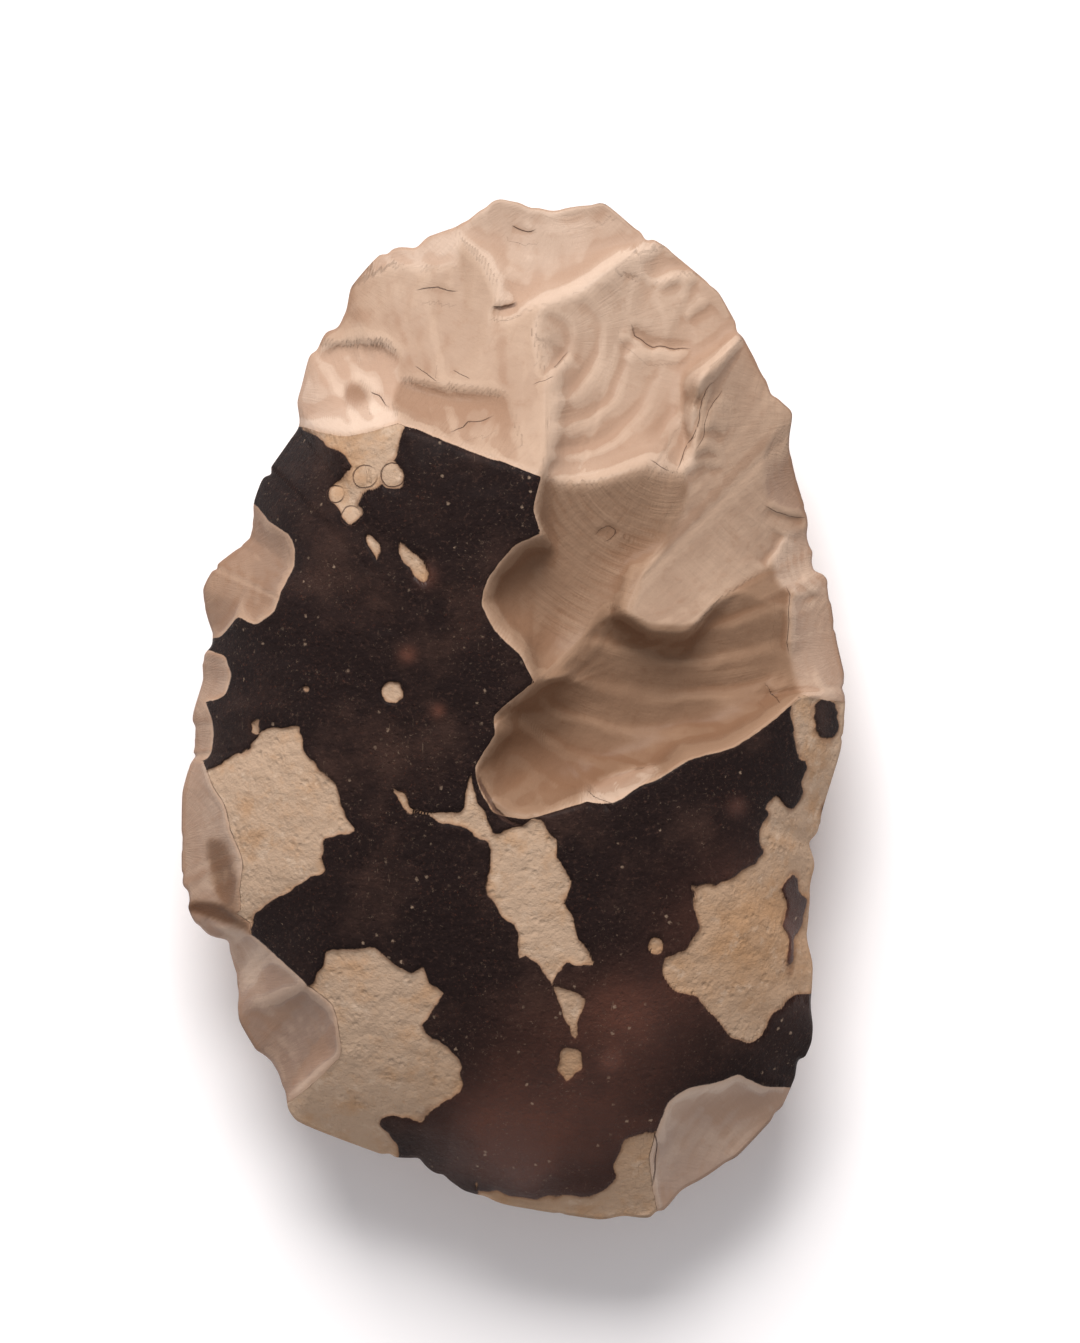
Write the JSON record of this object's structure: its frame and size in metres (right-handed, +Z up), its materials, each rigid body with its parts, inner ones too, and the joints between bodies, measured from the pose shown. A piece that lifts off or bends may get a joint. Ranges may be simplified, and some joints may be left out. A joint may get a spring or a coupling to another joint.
{
  "type": "stone hand axe",
  "caption": "Flaked stone hand axe with a thick butt, a tapering tip, pale flake scars and dark natural skin with chalky patches, lying on its back face",
  "frame": {"origin": "centre of the bounding box in plan, on the resting plane", "axes": "+Y towards the tip, +Z up out of the front face, +X to the right seen from the front"},
  "size_m": [0.1041, 0.1599, 0.0443],
  "materials": {
    "flint": "flaked flint, satin scars, dark weathered skin with rough chalky patches"
  },
  "bodies": {
    "root": {"hand_axe": "flint"}
  },
  "joints": []
}
